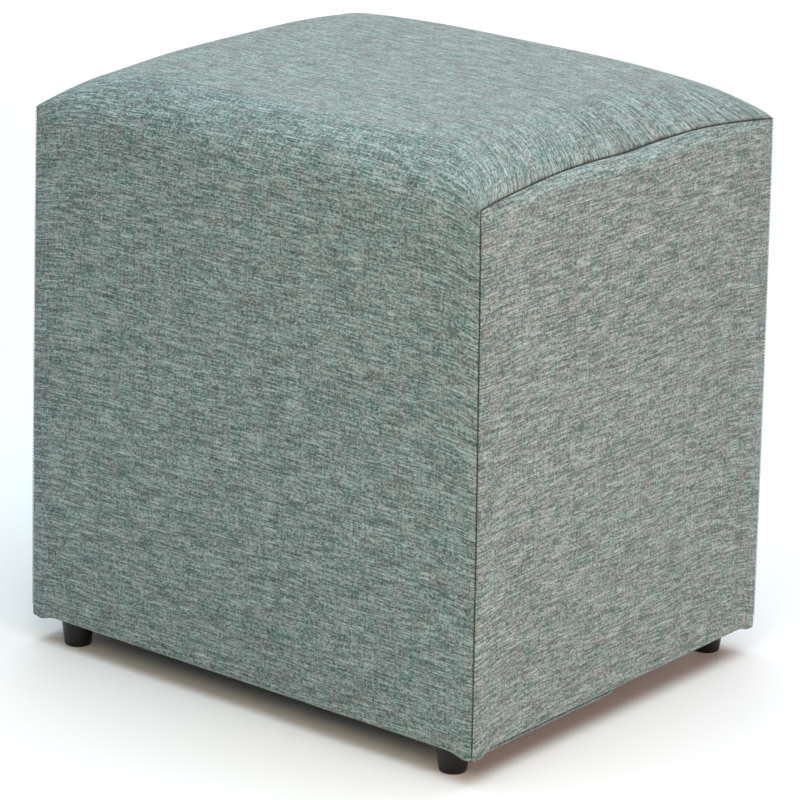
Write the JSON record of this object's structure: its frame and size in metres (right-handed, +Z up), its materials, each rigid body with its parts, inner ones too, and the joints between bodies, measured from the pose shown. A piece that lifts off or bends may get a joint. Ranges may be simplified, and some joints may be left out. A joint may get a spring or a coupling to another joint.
{
  "type": "upholstered pouf stool",
  "caption": "Low block-shaped upholstered stool with a crowned seat, side panels sewn to one wrapped panel, on short tapered feet.",
  "frame": {"origin": "on the floor, in the middle under the stool", "axes": "+Z up, +X towards the right side panel, -Y towards the front face of the wrap"},
  "size_m": [0.402, 0.335, 0.432],
  "materials": {
    "cloth": "slub linen-look plain weave in teal grey with pale and charcoal yarns, matt",
    "board": "plain dark hardboard, matt",
    "feet": "black moulded plastic, satin"
  },
  "bodies": {
    "root": {"wrap_panel": "cloth", "side_panel_left": "cloth", "side_panel_right": "cloth", "base_board": "board", "foot_front_left": "feet", "foot_front_right": "feet", "foot_back_left": "feet", "foot_back_right": "feet"}
  },
  "joints": []
}
